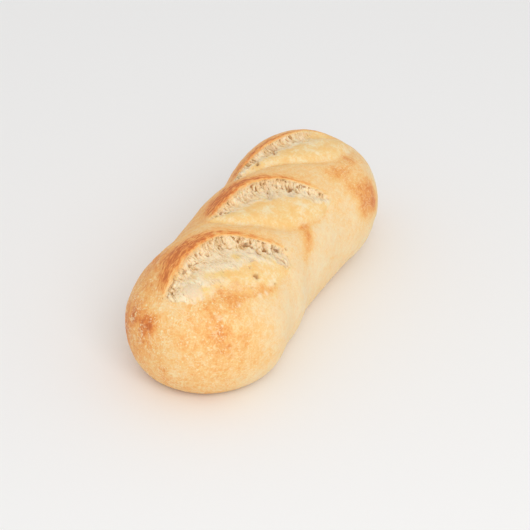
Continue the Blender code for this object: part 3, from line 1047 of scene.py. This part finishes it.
def skin_colour(s, crust):
    """The bed's thin skin, mottled, and like the crust where it is baked."""
    mottle = s.scaled(s.noise(1.1 * MM, 3, 0.7), 0.45, -0.225)
    tone = s.total(s.noise(7 * MM, 5, 0.65, place=s.shifted((0.7, 0.2, 0.4))), mottle)
    return s.mix(s.rise(s.mark("toast"), 0.42, 0.62), s.ramp(tone, SKIN_STOPS), crust)


def crumb_colour(s, crust, skin):
    """Torn crumb, with painted shade where it lies lower. With it, how much each point is in a gap between
    strands, which takes painted shade.
    """
    grain = s.scaled(s.noise(1.4 * MM, 5, 0.7), 0.56, -0.29)
    strands = s.scaled(s.noise(0.7 * MM, 2, 0.6, place=s.drawn_out("strand_place", 0.16)), 0.8, -0.41)
    # Painted shade: the ramp darkens the crumb where it lies lower.
    crumb = s.ramp(s.total(s.mark("high"), grain, strands), CRUMB_STOPS)

    # Skin left on it here and there, the named films, and the golden rim under the ear's edge.
    left = s.rise(s.noise(7 * MM, 3, place=s.shifted((0.15, 0.55, 0.35))), 0.55, 0.68)
    crumb = s.mix(s.scaled(left, 0.5), crumb, skin)
    film = s.mix(s.rise(s.mark("toast"), 0.36, 0.58), linear(FILM), crust)
    crumb = s.mix(s.scaled(s.mark("film"), 0.9), crumb, film)
    rim = s.mix(s.rise(s.mark("toast"), 0.4, 0.58), linear(GOLD), crust)
    crumb = s.mix(s.scaled(s.mark("golden"), 0.85), crumb, rim)

    # Painted shade in the gaps between strands and in the soft hollows, and the blister.
    gap = s.lines(2.0 * MM, 0.04, 0.006, place=s.drawn_out("strand_place", 0.2), distortion=0.5)
    patches = s.rise(s.noise(5 * MM, 2, place=s.shifted((0.4, 0.9, 0.1))), 0.42, 0.58)
    gap = s.product(gap, patches, s.rise(s.mark("pale"), 0.3, 0.0))
    crumb = s.mix(s.scaled(gap, 0.45), crumb, linear(GAP_SHADE))
    crumb = s.mix(s.scaled(s.mark("hollow"), 0.6), crumb, linear(HOLLOW_SHADE))
    return s.mix(s.mark("pale"), crumb, linear(BUBBLE)), gap


def loaf_material():
    """Baked crust, torn crumb and the thin skin beside it, told apart by the marks on the mesh."""
    s = Shading("crust_and_crumb")
    crust, marked = crust_colour(s)
    skin = skin_colour(s, crust)
    crumb, gap = crumb_colour(s, crust, skin)
    torn = s.mark("torn")
    colour = s.mix(s.scaled(s.mark("bed"), 0.85), crust, skin)
    colour = s.mix(torn, colour, crumb)
    # Painted shade in the holes and open cells.
    colour = s.mix(s.scaled(s.rise(s.mark("pit_shade"), 0.1, 1.0), 0.9), colour, linear(PIT_SHADE))
    s.put(s.shader.inputs["Base Color"], colour)
    s.put(s.shader.inputs["Roughness"], s.scaled(torn, 0.3, 0.55))
    s.shader.inputs["Specular IOR Level"].default_value = 0.35
    s.shader.inputs["Subsurface Weight"].default_value = 0.2
    s.shader.inputs["Subsurface Radius"].default_value = (1.0, 0.6, 0.3)
    s.shader.inputs["Subsurface Scale"].default_value = 2 * MM

    # Fine relief that the mesh is too coarse for.
    pores = s.product(s.noise(0.9 * MM, 3, 0.6), s.scaled(torn, 0.3 * MM, 0.13 * MM))
    gaps = s.product(gap, s.scaled(torn, -0.17 * MM))
    relief = s.total(pores, s.scaled(marked, 0.1 * MM), gaps)
    bump = s.node("ShaderNodeBump", None, {"Strength": 1.0, "Distance": 1.0, "Height": relief})
    s.put(s.shader.inputs["Normal"], bump.outputs["Normal"])
    return s.material


def add_floor():
    """A plain pale floor, far wider than the view."""
    bm = bmesh.new()
    bmesh.ops.create_grid(bm, x_segments=1, y_segments=1, size=FLOOR_SIZE / 2)
    mesh = bpy.data.meshes.new("floor")
    bm.to_mesh(mesh)
    bm.free()
    floor = bpy.data.objects.new("floor", mesh)
    floor.location.z = FLOOR_LEVEL
    bpy.context.scene.collection.objects.link(floor)
    s = Shading("floor")
    s.shader.inputs["Base Color"].default_value = linear(FLOOR)
    s.shader.inputs["Roughness"].default_value = 0.9
    mesh.materials.append(s.material)
    return floor


def add_light(name, towards, distance, size, power, colour):
    """A soft square light, on the side that towards points to, facing the loaf."""
    light = bpy.data.lights.new(name, "AREA")
    light.size = size
    light.energy = power
    light.color = colour
    lamp = bpy.data.objects.new(name, light)
    direction = Vector(towards).normalized()
    lamp.location = direction * distance
    lamp.rotation_euler = direction.to_track_quat("Z", "Y").to_euler()
    bpy.context.scene.collection.objects.link(lamp)


def add_sky(strength, colour):
    world = bpy.data.worlds.new("sky")
    world.use_nodes = True
    sky = world.node_tree.nodes["Background"]
    sky.inputs["Color"].default_value = (*colour, 1)
    sky.inputs["Strength"].default_value = strength
    bpy.context.scene.world = world


def add_camera():
    lens = bpy.data.cameras.new("camera")
    lens.lens = CAMERA_LENS
    lens.clip_start = CAMERA_CLIP
    camera = bpy.data.objects.new("camera", lens)
    azimuth, elevation = math.radians(CAMERA_AZIMUTH), math.radians(CAMERA_ELEVATION)
    level = math.cos(elevation)
    forward = Vector((-math.sin(azimuth) * level, math.cos(azimuth) * level, -math.sin(elevation)))
    camera.location = Vector(AIM) - CAMERA_DISTANCE * forward
    camera.rotation_euler = (math.pi / 2 - elevation, 0, azimuth)
    bpy.context.scene.collection.objects.link(camera)
    bpy.context.scene.camera = camera


loaf = build_loaf()
loaf.data.materials.append(loaf_material())
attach(loaf, "root")
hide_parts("loaf")

add_floor()
add_light("key", KEY_TOWARDS, KEY_DISTANCE, KEY_SIZE, KEY_POWER, KEY_COLOUR)
add_sky(SKY_STRENGTH, SKY_COLOUR)
add_camera()
bpy.context.scene.view_settings.view_transform = "Standard"
